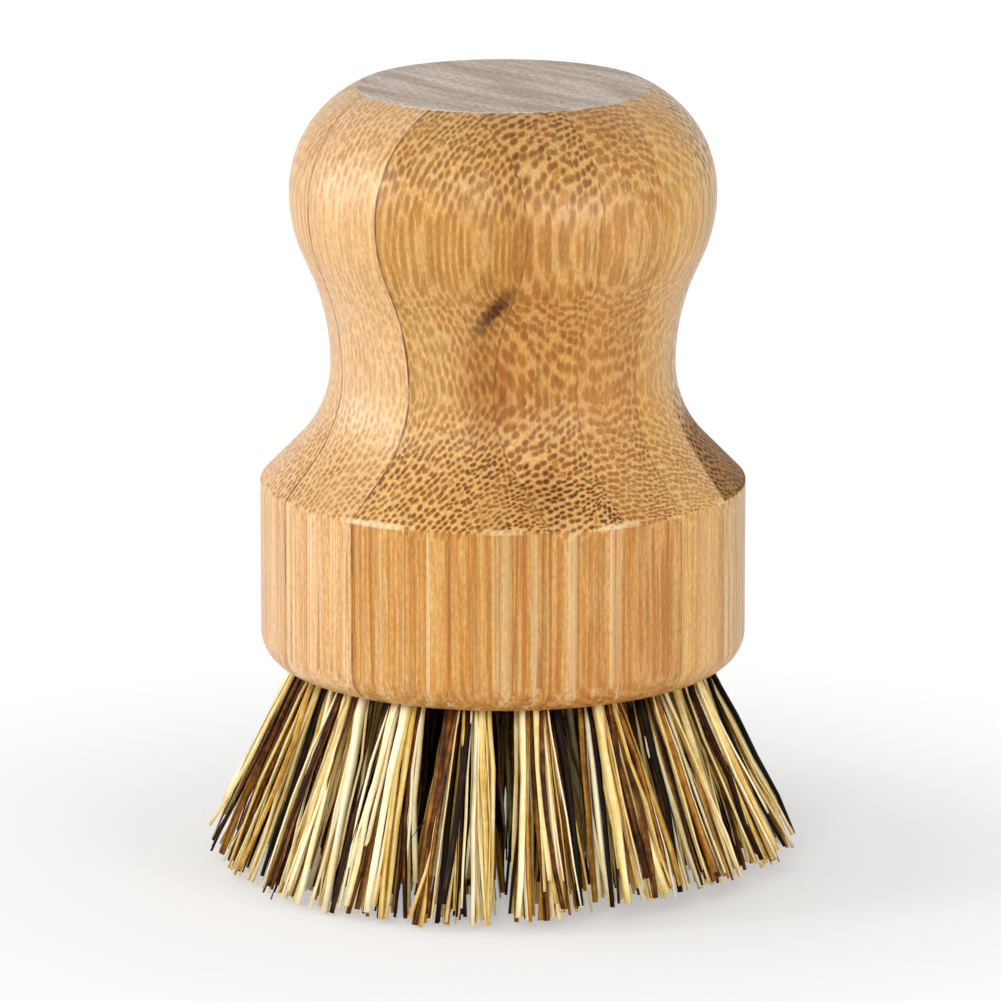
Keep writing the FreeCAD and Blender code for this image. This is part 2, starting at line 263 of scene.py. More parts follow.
# Fades by the distance from a slat's edge, by level and by radius
LAYER_GLUE = (0.03, 0.15, 0.45, 0.0)
JOINT_GLUE = (0.05, 0.2, 1.0, 0.0)
UPRIGHT_LEVELS = (RIM_TOP - 0.2, RIM_TOP, 1.0, 0.0)
SAWN_LEVELS = (FLAT_TOP - 0.12, FLAT_TOP - 0.04, 0.0, 1.0)
EDGE_LEVELS = (RIM_TOP - 0.3, RIM_TOP - 0.02, 0.0, 1.0)
EDGE_RADII = (RIM_RADIUS - 0.42, RIM_RADIUS - 0.1, 0.0, 1.0)
# Share of the pale cells, partly painted glints of the pores, where bundles are faint, and how much it grows
# where they are dark
CELL_AND_GLINT_SHARE = 0.18
CELL_AND_GLINT_MORE = 0.3
# Shares of the painted greyish reflection of the white surroundings on the flat top, and of the bundles in it
REFLECTION_SHARE = 0.86
REFLECTION_BUNDLE_SHARE = 0.34
# Roughness of the bamboo, and what bundles, pores, the rim's edge and the sawn top add to it
SLAT_ROUGHNESS = 0.29
BUNDLE_ROUGHNESS = 0.12
PORE_ROUGHNESS = 0.14
EDGE_ROUGHNESS = 0.3
SAWN_ROUGHNESS = 0.15
# How deep bundles and glue lie beside the pores
BUNDLE_DEPTH = 0.8
GLUE_DEPTH = 1.5


def by_height(tree, height, stops):
    """Amount that runs from stop to stop up the block. The height is 0 at the tips and 1 at the flat top."""
    return ramp(tree, height, [(level / FLAT_TOP, (amount, amount, amount, 1)) for level, amount in stops])


def bundle_kind(tree, axes, fine, span, kind):
    """Dots of one kind of bundle, in staggered rows, and the pale cells round them, partly painted glints of
    the pores.
    """
    spacing, start, end = kind
    row = times(tree, axes[1], 1 / (ROW_STEP * spacing))
    column = maths(tree, "MULTIPLY_ADD", row, -0.5, maths(tree, "DIVIDE", axes[0], spacing))
    skewed = add(tree, "ShaderNodeCombineXYZ", {0: column, 1: row}).outputs[0]
    inputs = {"Vector": skewed, "Scale": 1.0, "Randomness": BUNDLE_UNEVENNESS}
    cells = add(tree, "ShaderNodeTexVoronoi", inputs, voronoi_dimensions="2D", feature="F1").outputs
    chance = add(tree, "ShaderNodeSeparateColor", {0: cells["Color"]}).outputs
    middle = parts(tree, cells["Position"])
    across = times(tree, maths(tree, "MULTIPLY_ADD", middle[1], 0.5, middle[0]), spacing)
    beside = times(tree, middle[1], ROW_STEP * spacing)
    sides = {0: minus(tree, axes[0], across), 1: minus(tree, axes[1], beside)}
    offset = add(tree, "ShaderNodeCombineXYZ", sides).outputs[0]
    away = length(tree, vector_maths(tree, "MULTIPLY", offset, BUNDLE_SHAPE))

    share = maths(tree, "DIVIDE", minus(tree, across, fine), span)
    stray = maths(tree, "MULTIPLY_ADD", chance[0], 2 * KINDS_STRAY, minus(tree, share, KINDS_STRAY))
    here = times(tree, maths(tree, "GREATER_THAN", stray, start), maths(tree, "LESS_THAN", stray, end))
    radius = maths(tree, "MULTIPLY_ADD", chance[2], BUNDLE_GROWTH * spacing, BUNDLE_HALF_WIDTH * spacing)
    dot = ease(tree, maths(tree, "DIVIDE", away, radius), *BUNDLE_FADE)
    strength = maths(tree, "MULTIPLY_ADD", chance[1], BUNDLE_MORE, BUNDLE_STRENGTH)
    cell_and_glint = ease(tree, maths(tree, "DIVIDE", away, spacing), *CELL_AND_GLINT_FADE)
    return times(tree, times(tree, dot, here), strength), times(tree, cell_and_glint, here)


def bundle_group():
    """Dark fibre bundles that run up the slat: dots on end grain, stripes on upright faces.

    They lie wide apart at the slat's coarse edge and close together at its fine edge.
    """
    tree, source, sink = new_group(
        "bamboo_bundles",
        [("Place", "Vector"), ("Fine", "Float"), ("Coarse", "Float")],
        [("Bundles", "Float"), ("CellsAndGlints", "Float")],
    )
    place = source["Place"]
    drift = minus(tree, noise(tree, place, LEVEL_GRAIN).outputs[0], 0.5)
    level = maths(tree, "MULTIPLY_ADD", drift, LEVEL_DRIFT, parts(tree, place)[2])
    height = maths(tree, "DIVIDE", level, FLAT_TOP)
    closeness = times(tree, by_height(tree, height, BUNDLE_CLOSENESS), 2.0)
    axes = parts(tree, stretched(tree, drifted(tree, place, ROW_GRAIN, ROW_DRIFT), closeness))
    span = minus(tree, source["Coarse"], source["Fine"])
    dots = 0.0
    pale = 0.0
    for kind in BUNDLE_KINDS:
        dot, cell_and_glint = bundle_kind(tree, axes, source["Fine"], span, kind)
        dots = maths(tree, "MAXIMUM", dot, dots)
        pale = maths(tree, "MAXIMUM", cell_and_glint, pale)
    feed(tree, sink["Bundles"], dots)
    feed(tree, sink["CellsAndGlints"], pale)
    return tree


def between_bundles(tree, source, height, darkness, cells, pores):
    """Bamboo between the bundles: warm clouds, pale cells that are partly painted glints of the pores, and
    fine streaks.
    """
    place = source["Place"]
    clouds = noise(tree, place, CLOUD_GRAIN, 3.0).outputs[0]
    grain = noise(tree, place, STREAK_GRAIN, 3.0, 0.6).outputs[0]
    warmth = maths(tree, "MULTIPLY_ADD", clouds, 0.5, times(tree, grain, 0.5))
    base = mix(tree, ease(tree, warmth, *WARM_FADE), source["Base"], source["Warm"])
    # Pale cells, partly painted glints of the pores, show more where the bundles are dark
    share = times(tree, cells, maths(tree, "MULTIPLY_ADD", darkness, CELL_AND_GLINT_MORE, CELL_AND_GLINT_SHARE))
    base = mix(tree, share, base, PALE_CELL_AND_GLINT)
    streak = times(tree, ease(tree, grain, *STREAK_FADE), ease(tree, pores, *PORE_FADE))
    grey = add(tree, "ShaderNodeCombineColor", {0: streak, 1: streak, 2: streak}).outputs[0]
    base = mix(tree, 1.0, base, grey, "MULTIPLY")
    return mix(tree, 1.0, base, by_height(tree, height, BASE_LIGHTNESS), "MULTIPLY")


def rim_lines(tree, source, level, colour):
    """Bands, threads, splits and specks, seen where the upright rim cuts along the bundles."""
    place = source["Place"]
    upright = ease(tree, level, *UPRIGHT_LEVELS)
    lines = times(tree, ease(tree, source["Contrast"], *LINES_BY_CONTRAST), upright)
    bands = noise(tree, place, BAND_GRAIN, 3.0, 0.6).outputs[0]
    deep = times(tree, ease(tree, bands, *DEEP_BAND_FADE), upright)
    colour = mix(tree, deep, colour, mix(tree, 1.0, colour, DEEP_BAND, "MULTIPLY"))
    pale = times(tree, ease(tree, bands, *PALE_BAND_FADE), lines)
    colour = mix(tree, pale, colour, PALE_BAND)
    for grain, detail, rough, thinness, share, tint in RIM_LINES:
        away = minus(tree, noise(tree, place, grain, detail, rough).outputs[0], 0.5)
        line = ease(tree, maths(tree, "ABSOLUTE", away), *thinness, share, 0.0)
        colour = mix(tree, times(tree, line, lines), colour, tint)
    specks = noise(tree, place, SPECK_GRAIN, 2.0, 0.6).outputs[0]
    speck = times(tree, ease(tree, specks, *SPECK_FADE), upright)
    return mix(tree, speck, colour, SPECK)


def glue_lines(tree, source, axes):
    """Glue along the slat's four edges, faint between layers and clear at joints."""
    glue = 0.0
    edges = ((axes[0], "Low", "High", LAYER_GLUE), (axes[1], "Left", "Right", JOINT_GLUE))
    for axis, first, last, fade in edges:
        inside = maths(tree, "MINIMUM", minus(tree, axis, source[first]), minus(tree, source[last], axis))
        glue = maths(tree, "MAXIMUM", glue, ease(tree, inside, *fade))
    return glue


def top_under_painted_reflection(tree, place, bundles, colour):
    """The sawn flat top is painted greyer and plainer than the turned sides, as a painted reflection of the
    white surroundings.
    """
    bands = ease(tree, noise(tree, place, SAWN_GRAIN, 2.0).outputs[0], *NOISE_RANGE)
    plain = mix(tree, bands, REFLECTION_DEEP, REFLECTION_PALE)
    plain = mix(tree, times(tree, bundles, REFLECTION_BUNDLE_SHARE), plain, BUNDLE_UNDER_REFLECTION)
    return mix(tree, REFLECTION_SHARE, colour, plain)


def rim_edge(tree, place, level):
    """1 along the rim's upper edge."""
    radius = length(tree, vector_maths(tree, "MULTIPLY", place, (1, 1, 0)))
    return times(tree, ease(tree, radius, *EDGE_RADII), ease(tree, level, *EDGE_LEVELS))


def slat_group(bundles):
    """Colour, roughness, height and polish of one bamboo slat between its glue lines."""
    tree, source, sink = new_group(
        "bamboo_slat",
        [
            ("Place", "Vector"),
            ("Fine", "Float"),
            ("Coarse", "Float"),
            ("Low", "Float"),
            ("High", "Float"),
            ("Left", "Float"),
            ("Right", "Float"),
            ("Base", "Color"),
            ("Warm", "Color"),
            ("Bundle", "Color"),
            ("Contrast", "Float"),
        ],
        [("Color", "Color"), ("Roughness", "Float"), ("Height", "Float"), ("Polish", "Float")],
    )
    place = source["Place"]
    axes = parts(tree, place)
    level = axes[2]
    height = maths(tree, "DIVIDE", level, FLAT_TOP)
    darkness = by_height(tree, height, BUNDLE_DARKNESS)
    dots = use_group(tree, bundles, {"Place": place, "Fine": source["Fine"], "Coarse": source["Coarse"]})
    pores = noise(tree, place, PORE_GRAIN, 2.0, 0.6).outputs[0]
    base = between_bundles(tree, source, height, darkness, dots["CellsAndGlints"], pores)
    # Cut across, on the skirt and the crown, the bundles are darker than where they are cut along
    fade = ease(tree, noise(tree, place, FADE_GRAIN, 3.0).outputs[0], *FAINT_BUNDLES)
    strength = times(tree, times(tree, dots["Bundles"], source["Contrast"]), times(tree, fade, darkness))
    colour = mix(tree, strength, base, source["Bundle"])
    colour = rim_lines(tree, source, level, colour)
    glue = glue_lines(tree, source, axes)
    broken = ease(tree, noise(tree, place, GLUE_GRAIN, 3.0, 0.65).outputs[0], *BROKEN_GLUE)
    colour = mix(tree, times(tree, glue, broken), colour, GLUE)
    sawn = ease(tree, level, *SAWN_LEVELS)
    # The flat top gets a painted greyish reflection of the white surroundings
    colour = mix(tree, sawn, colour, top_under_painted_reflection(tree, place, dots["Bundles"], colour))
    # Pale line along the rim's upper edge: worn bamboo and a painted highlight, broken by noise
    edge = rim_edge(tree, place, level)
    worn_and_glinting = ease(tree, noise(tree, place, EDGE_WEAR_AND_GLINT_GRAIN).outputs[0], *EDGE_WEAR_AND_GLINT_FADE)
    colour = mix(tree, times(tree, edge, worn_and_glinting), colour, EDGE_WEAR_AND_GLINT)

    rough = maths(tree, "MULTIPLY_ADD", dots["Bundles"], BUNDLE_ROUGHNESS, SLAT_ROUGHNESS)
    for mask, amount in ((pores, PORE_ROUGHNESS), (edge, EDGE_ROUGHNESS), (sawn, SAWN_ROUGHNESS)):
        rough = maths(tree, "MULTIPLY_ADD", mask, amount, rough)
    relief = maths(tree, "MULTIPLY_ADD", dots["Bundles"], -BUNDLE_DEPTH, pores)
    feed(tree, sink["Color"], colour)
    feed(tree, sink["Roughness"], rough)
    feed(tree, sink["Height"], maths(tree, "MULTIPLY_ADD", glue, -GLUE_DEPTH, relief))
    feed(tree, sink["Polish"], minus(tree, 1.0, sawn))
    return tree


def stain_or_shade_group():
    """Ragged dark mark round a place in the slat, above a lowest level, for stained places and for painted
    shade.
    """
    tree, source, sink = new_group(
        "bamboo_stain_or_shade",
        [
            ("Place", "Vector"),
            ("Middle", "Vector"),
            ("Reach", "Vector"),
            ("Lean", "Vector"),
            ("Softness", "Float"),
            ("Lowest", "Float"),
        ],
        [("StainOrShade", "Float")],
    )
    place = source["Place"]
    ragged = drifted(tree, place, STAIN_OR_SHADE_GRAIN, STAIN_OR_SHADE_DRIFT, 4.0, 0.65)
    away = vector_maths(tree, "SUBTRACT", ragged, source["Middle"])
    lean = stretched(tree, source["Lean"], parts(tree, away)[2])
    away = vector_maths(tree, "DIVIDE", vector_maths(tree, "SUBTRACT", away, lean), source["Reach"])
    stain_or_shade = ease(tree, length(tree, away), minus(tree, 1.0, source["Softness"]), 1.0, 1.0, 0.0)
    above = maths(tree, "GREATER_THAN", parts(tree, place)[2], source["Lowest"])
    feed(tree, sink["StainOrShade"], times(tree, stain_or_shade, above))
    return tree


def new_material(name):
    """Material with a Principled shader. Returns the material, its tree and the shader."""
    material = bpy.data.materials.new(name)
    material.use_nodes = True
    tree = material.node_tree
    return material, tree, tree.nodes["Principled BSDF"]


# Slat: base, warm and bundle colours, bundle contrast
SLAT_LOOKS = {
    "1a": ((230, 186, 136), (218, 166, 100), (160, 98, 38), 1.00),
    "1b": ((234, 192, 145), (224, 174, 113), (168, 106, 44), 0.98),
    "1c": ((211, 160, 88), (194, 134, 50), (118, 66, 14), 1.18),
    "2a": ((216, 165, 96), (200, 141, 60), (136, 78, 22), 1.03),
    "2b": ((216, 164, 94), (199, 141, 60), (134, 76, 22), 1.03),
    "2c": ((205, 148, 69), (187, 120, 37), (92, 48, 10), 1.28),
    "3a": ((216, 165, 96), (200, 141, 60), (136, 78, 22), 0.99),
    "3b": ((203, 145, 72), (186, 122, 40), (112, 60, 14), 0.66),
    "4a": ((226, 177, 106), (210, 153, 66), (146, 88, 30), 0.92),
    "4b": ((222, 171, 100), (206, 147, 64), (142, 84, 26), 0.94),
    "4c": ((221, 168, 90), (207, 146, 55), (130, 76, 22), 0.66),
    "5a": ((226, 179, 118), (210, 155, 76), (146, 88, 32), 0.92),
    "5b": ((228, 181, 120), (212, 159, 82), (148, 90, 34), 0.87),
    "5c": ((220, 173, 103), (206, 153, 70), (84, 54, 6), 1.40),
}
# Each stained place and each painted shade: middle, reach and lean in the slat's axes, softness, share, tint
# and lowest level.
# A knot crosses the front glue line, the waist has a broad faint deeper tone, and the left of the skirt a
# broad faint painted shade.
KNOT = ((14.3, 15.6, 68.4), (2.1, 2.0, 4.0), (-0.2, 0.8, 0.0), 0.85, 0.95, (106, 64, 10), 0.0)
WAIST_SHADE = ((6.5, 17.5, 63.0), (13.0, 12.0, 20.0), (0, 0, 0), 1.0, 0.62, (244, 226, 194), 0.0)
# Painted shade on the left of the skirt, which the light from the left leaves too bright
SKIRT_PAINTED_SHADE = ((24.5, 0.4, 47.5), (9.0, 14.0, 8.0), (0, 0, 0), 0.9, 0.8, (238, 234, 226), RIM_TOP)
STAINS_AND_PAINTED_SHADE = {
    "1a": (SKIRT_PAINTED_SHADE,),
    "1b": (SKIRT_PAINTED_SHADE,),
    "1c": (
        KNOT,
        # Darker bamboo beside the front glue line
        ((14.6, 13.2, 61.0), (3.0, 3.4, 11.0), (0, 0, 0), 0.9, 0.6, (204, 168, 112), 0.0),
        ((13.3, 19.0, 60.0), (12.0, 11.0, 60.0), (0, 0, 0), 1.0, 1.0, (228, 215, 188), 0.0),
    ),
    "2c": (
        KNOT,
        ((12.4, 14.0, 59.0), (2.2, 4.0, 10.0), (0, 0, 0), 0.9, 0.6, (200, 160, 110), 0.0),
        ((12.0, 21.5, 48.5), (4.5, 5.5, 5.0), (0, 0, 0), 0.9, 0.4, (190, 150, 96), 0.0),
        WAIST_SHADE,
    ),
    "3b": (WAIST_SHADE,),
    # Brown patch on the right of the skirt
    "5c": (((-19.0, 20.0, 46.0), (14.0, 16.0, 12.0), (0, 0, 0), 0.45, 0.85, (178, 146, 68), RIM_TOP),),
}


# Finish of the bamboo: relief and polish, and how much rougher it is where it is dry
RELIEF = {"Strength": 0.3, "Distance": 0.12 * MM}
POLISH = 0.28
POLISH_ROUGHNESS = 0.3
DRYNESS = 0.3


def slat_material(name, layer, joints, looks, slat, stain_or_shade, stains_and_shade):
    """Bamboo of one slat, with its own colours, glue lines, stained places and painted shade."""
    base, warm, bundle, contrast = looks
    material, tree, shader = new_material(f"bamboo_{name}")
    coordinates = tree.nodes.new("ShaderNodeTexCoord")
    turned = add(
        tree,
        "ShaderNodeMapping",
        {"Vector": coordinates.outputs["Object"], "Rotation": (0, 0, SLAT_TURN), "Scale": (1 / MM,) * 3},
    )
    place = turned.outputs[0]
    looks = use_group(
        tree,
        slat,
        {
            "Place": place,
            "Fine": max(layer[0], -RIM_RADIUS),
            "Coarse": min(layer[1], RIM_RADIUS),
            "Low": layer[0],
            "High": layer[1],
            "Left": joints[0],
            "Right": joints[1],
            "Base": shade(*base),
            "Warm": shade(*warm),
            "Bundle": shade(*bundle),
            "Contrast": contrast,
        },
    )
    colour = looks["Color"]
    polish = looks["Polish"]
    for middle, reach, lean, softness, share, tint, lowest in stains_and_shade:
        inputs = {"Place": place, "Middle": middle, "Reach": reach, "Lean": lean}
        inputs |= {"Softness": softness, "Lowest": lowest}
        mask = times(tree, use_group(tree, stain_or_shade, inputs)["StainOrShade"], share)
        colour = mix(tree, mask, colour, shade(*tint), "MULTIPLY")
        polish = times(tree, minus(tree, 1.0, mask), polish)
    bump = add(tree, "ShaderNodeBump", {"Height": looks["Height"], **RELIEF})
    feed(tree, shader.inputs["Base Color"], colour)
    # Stained places, painted shade and the sawn top are drier
    dry = minus(tree, 1.0, polish)
    feed(tree, shader.inputs["Roughness"], maths(tree, "MULTIPLY_ADD", dry, DRYNESS, looks["Roughness"]))
    feed(tree, shader.inputs["Normal"], bump.outputs[0])
    feed(tree, shader.inputs["Specular IOR Level"], POLISH)
    feed(tree, shader.inputs["Coat Weight"], times(tree, polish, POLISH))
    feed(tree, shader.inputs["Coat Roughness"], POLISH_ROUGHNESS)
    return material


def dress_block():
    """Give each slat of the block its own bamboo."""
    slat = slat_group(bundle_group())
    stain_or_shade = stain_or_shade_group()
    for number, joints in enumerate(JOINTS, start=1):
        edges = (-BEYOND_BLOCK, *joints, BEYOND_BLOCK)
        for letter, left, right in zip("abc", edges, edges[1:]):
            name = f"{number}{letter}"
            layer = (LAYER_EDGES[number], LAYER_EDGES[number - 1])
            stains_and_shade = STAINS_AND_PAINTED_SHADE.get(name, ())
            material = slat_material(name, layer, (left, right), SLAT_LOOKS[name], slat, stain_or_shade, stains_and_shade)
            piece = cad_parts[f"bamboo_slat_{name}"]
            piece.data.materials.clear()
            piece.data.materials.append(material)


STEEL = shade(176, 176, 172)
# Cycles per metre
STEEL_GRAIN = (900, 900, 900)
STEEL_ROUGHNESS = (*NOISE_RANGE, 0.28, 0.42)


def steel_material():
    """Drawn steel wire of the anchors."""
    material, tree, shader = new_material("anchor_steel")
    coordinates = tree.nodes.new("ShaderNodeTexCoord")
    drawn = noise(tree, coordinates.outputs["Object"], STEEL_GRAIN).outputs[0]
    feed(tree, shader.inputs["Base Color"], STEEL)
    feed(tree, shader.inputs["Metallic"], 1.0)
    feed(tree, shader.inputs["Roughness"], ease(tree, drawn, *STEEL_ROUGHNESS))
    return material


# Tone of a fibre, and its colour
FIBRE_COLOURS = (
    (0.0, (18, 9, 3)),
    (0.11, (46, 24, 8)),
    (0.22, (100, 56, 20)),
    (0.34, (152, 100, 38)),
    (0.48, (196, 144, 58)),
    (0.64, (226, 190, 103)),
    (0.8, (242, 219, 151)),
    (1.0, (255, 245, 211)),
)
WORN_TIP = shade(205, 180, 140)
# Cycles across a tuft's map, up it and through it
FIBRE_STREAKS = (330, 3.0, 1)
FIBRE_PATCHES = (90, 22, 1)
# How far streaks and patches shift a fibre's tone
STREAK_SHIFT = 0.95
PATCH_SHIFT = 0.3
# Fades: the values where each starts and ends, and the amounts at both
TIP_FADE = (0.9, 1.0, 0.0, 0.35)
FIBRE_ROUGHNESS = (*NOISE_RANGE, 0.55, 0.75)
FIBRE_SHINE = 0.12
FIBRE_RELIEF = {"Strength": 0.5, "Distance": 0.12 * MM}


def fibre_material():
    """Dried plant fibre: each fibre has its own tone, with finer streaks along it."""
    material, tree, shader = new_material("plant_fibre")
    tone = add(tree, "ShaderNodeAttribute", attribute_name="tone").outputs["Fac"]
    along = add(tree, "ShaderNodeAttribute", attribute_name="along").outputs["Fac"]
    strip = add(tree, "ShaderNodeUVMap", uv_map="OFBake").outputs[0]
    streaks = noise(tree, strip, FIBRE_STREAKS, 3.0, 0.6).outputs[0]
    patches = noise(tree, strip, FIBRE_PATCHES, 2.0, 0.6).outputs[0]
    shifted = maths(tree, "MULTIPLY_ADD", minus(tree, streaks, 0.5), STREAK_SHIFT, tone)
    shifted = maths(tree, "MULTIPLY_ADD", minus(tree, patches, 0.5), PATCH_SHIFT, shifted)
    fibre = ramp(tree, shifted, [(position, shade(*colour)) for position, colour in FIBRE_COLOURS])
    worn = ease(tree, along, *TIP_FADE)
    colour = mix(tree, worn, fibre, mix(tree, 1.0, fibre, WORN_TIP, "MULTIPLY"))
    feed(tree, shader.inputs["Base Color"], colour)
    feed(tree, shader.inputs["Roughness"], ease(tree, streaks, *FIBRE_ROUGHNESS))
    feed(tree, shader.inputs["Specular IOR Level"], FIBRE_SHINE)
    bump = add(tree, "ShaderNodeBump", {"Height": streaks, **FIBRE_RELIEF})
    feed(tree, shader.inputs["Normal"], bump.outputs[0])
    return material


# Tufts: where the holes and the trimmed tips lie, and how wide a tuft is there
FACE_LEVEL = 23.8
# The centre counts as the first ring, and each ring after it has six holes more
RINGS = 4
HOLES_MORE = 6
OUTER_RING = RINGS - 1
HOLE_PITCH = 7.05
TIP_PITCH = 9.78
HOLE_REACH = 2.1
TIP_REACH = 4.6
TIP_LIMIT = 33.2
ROOT_DEPTH = 1.4
FIBRES_IN_TUFT = 54
# Turn from fibre to fibre that spreads them evenly, and how far it strays
EVEN_TURN = math.radians(137.5)
TURN_STRAY = 0.3
# Fibre: sides, taper, and the places along it where it may bend
FIBRE_SIDES = 5
FIBRE_TAPER = 0.72
BENDS = (0.16, 0.36, 0.58, 0.8)
# Half widths of fibres, and how much of that they have the other way
WIDE_FIBRE = (0.34, 0.6)
FINE_FIBRE = (0.13, 0.34)
WIDE_SHARE = 0.55
FLATNESS = (0.42, 0.62)
# How far a fibre bows and wavers, how much it swells at a bend, and how far it rolls, in radians
BOW = 0.34
WAVER = 0.1
SWELL = (0.86, 1.12)
ROLL = 0.6
# Tips: heights, wear of the outer ones, strays, broken fibres, and the slant of the front trim
LEAST_TIP = 0.5
UNEVEN_TIP = (0.2, 0.7)
OUTER_WEAR = 2.2
STRAY_SHARE = 0.06
STRAY_REACH = 2.4
TIP_SCATTER = 0.5
BROKEN_SHARE = 0.1
BROKEN_LENGTH = (0.06, 0.2)
SLANT_RIGHT = 0.0034
SLANT_LEFT = 0.0006
# Tone of fibres, 0 near black to 1 cream: picks below the first value have a tone between the other two
FIBRE_TONES = ((0.15, -0.05, 0.08), (0.29, 0.1, 0.28), (0.42, 0.3, 0.56), (math.inf, 0.6, 0.98))
# How far a tuft's tone strays at random, and painted shade: tufts on the left darker and those on the right
# lighter, against the light from the left
TONE_STRAY_AND_PAINTED_SHADE = 0.06
# Map of a fibre: margin beside each side, where the sides start, and the strips kept for its two ends
SIDE_MARGIN = 0.04
SIDES_START = 0.02
HALF_END_STRIP = 0.006
TIP_STRIP = 0.984
# Single fibres that stand out of their tuft. Tuft: root and tip before the tuft is turned, half width, tone
LOOSE_FIBRES = {
    "fibres_ring3_14": (
        ((22.9, 0.8, FACE_LEVEL), (33.5, 1.6, 4.4), 0.34, 0.8),
        ((22.6, 1.4, FACE_LEVEL), (33.3, 3.0, 1.8), 0.36, 0.03),
    ),
    "fibres_ring3_18": (
        ((22.4, -2.0, FACE_LEVEL), (31.2, -4.4, 0.7), 0.6, 0.24),
        ((26.9, -2.9, 12.6), (28.0, -5.4, 9.8), 0.12, 0.06),
    ),
    "fibres_ring3_05": (((22.8, -0.9, FACE_LEVEL), (33.1, -1.8, 3.4), 0.36, 0.84),),
}


def straight_fibre():
    """Straight fibre of length and radius 1, cut into short lengths, with a strip of map of its own."""
    shape = bmesh.new()
    bmesh.ops.create_cone(shape, cap_ends=True, segments=FIBRE_SIDES, radius1=1, radius2=FIBRE_TAPER, depth=1)
    bmesh.ops.translate(shape, verts=shape.verts, vec=(0, 0, 0.5))
    for level in BENDS:
        bmesh.ops.bisect_plane(
            shape, geom=[*shape.verts, *shape.edges, *shape.faces], plane_co=(0, 0, level), plane_no=(0, 0, 1)
        )
    along = shape.verts.layers.float.new("along")
    shape.verts.layers.float.new("tone")
    strip = shape.loops.layers.uv.new("OFBake")
    for point in shape.verts:
        point[along] = point.co.z
    for face in shape.faces:
        middle = face.calc_center_median()
        upright = abs(face.normal.z) < 0.9
        face.smooth = upright
        bearing = math.atan2(middle.y, middle.x)
        column = math.floor(bearing / math.tau * FIBRE_SIDES + 0.5) % FIBRE_SIDES
        for loop in face.loops:
            point = loop.vert.co
            if upright:
                turn = (math.atan2(point.y, point.x) - bearing + math.pi) % math.tau - math.pi
                side = 1 - SIDE_MARGIN if turn > 0 else SIDE_MARGIN
                up = SIDES_START + (1 - 2 * SIDES_START) * point.z
                loop[strip].uv = ((column + side) / FIBRE_SIDES, up)
            else:
                up = HALF_END_STRIP * (1 + point.y) + (TIP_STRIP if middle.z > 0.5 else 0)
                loop[strip].uv = (0.5 + 0.4 * point.x, up)
    return shape


def fibre_tone(chance, bias):
    """Tone of one fibre. Most fibres are straw or cream."""
    pick = chance.random() + bias
    darkest, lightest = next(tones for limit, *tones in FIBRE_TONES if pick < limit)
    return chance.uniform(darkest, lightest)


def lay_fibre(template, root, tip, width, tone, chance):
    """One fibre from root to tip, a little bowed and uneven, in millimetres."""
    run = tip - root
    fibre = template.copy()
    bmesh.ops.scale(fibre, verts=fibre.verts, vec=(width, width * chance.uniform(*FLATNESS), run.length))
    along_layer = fibre.verts.layers.float["along"]
    tone_layer = fibre.verts.layers.float["tone"]
    bow = chance.gauss(0, BOW)
    sway = chance.gauss(0, BOW)
    for level in BENDS:
        ring = [point for point in fibre.verts if abs(point[along_layer] - level) < 0.01]
        swell = chance.uniform(*SWELL)
        bmesh.ops.scale(fibre, verts=ring, vec=(swell, swell, 1))
        arch = math.sin(math.pi * level)
        offset = Vector((bow * arch + chance.gauss(0, WAVER), sway * arch + chance.gauss(0, WAVER), 0))
        bmesh.ops.translate(fibre, verts=ring, vec=offset)
    for point in fibre.verts:
        point[tone_layer] = tone
    aim = Vector((0, 0, 1)).rotation_difference(run).to_matrix().to_4x4()
    roll = Matrix.Rotation(math.pi / 2 + chance.gauss(0, ROLL), 4, "Z")
    bmesh.ops.transform(fibre, matrix=Matrix.Translation(root) @ aim @ roll, verts=fibre.verts)
    return fibre


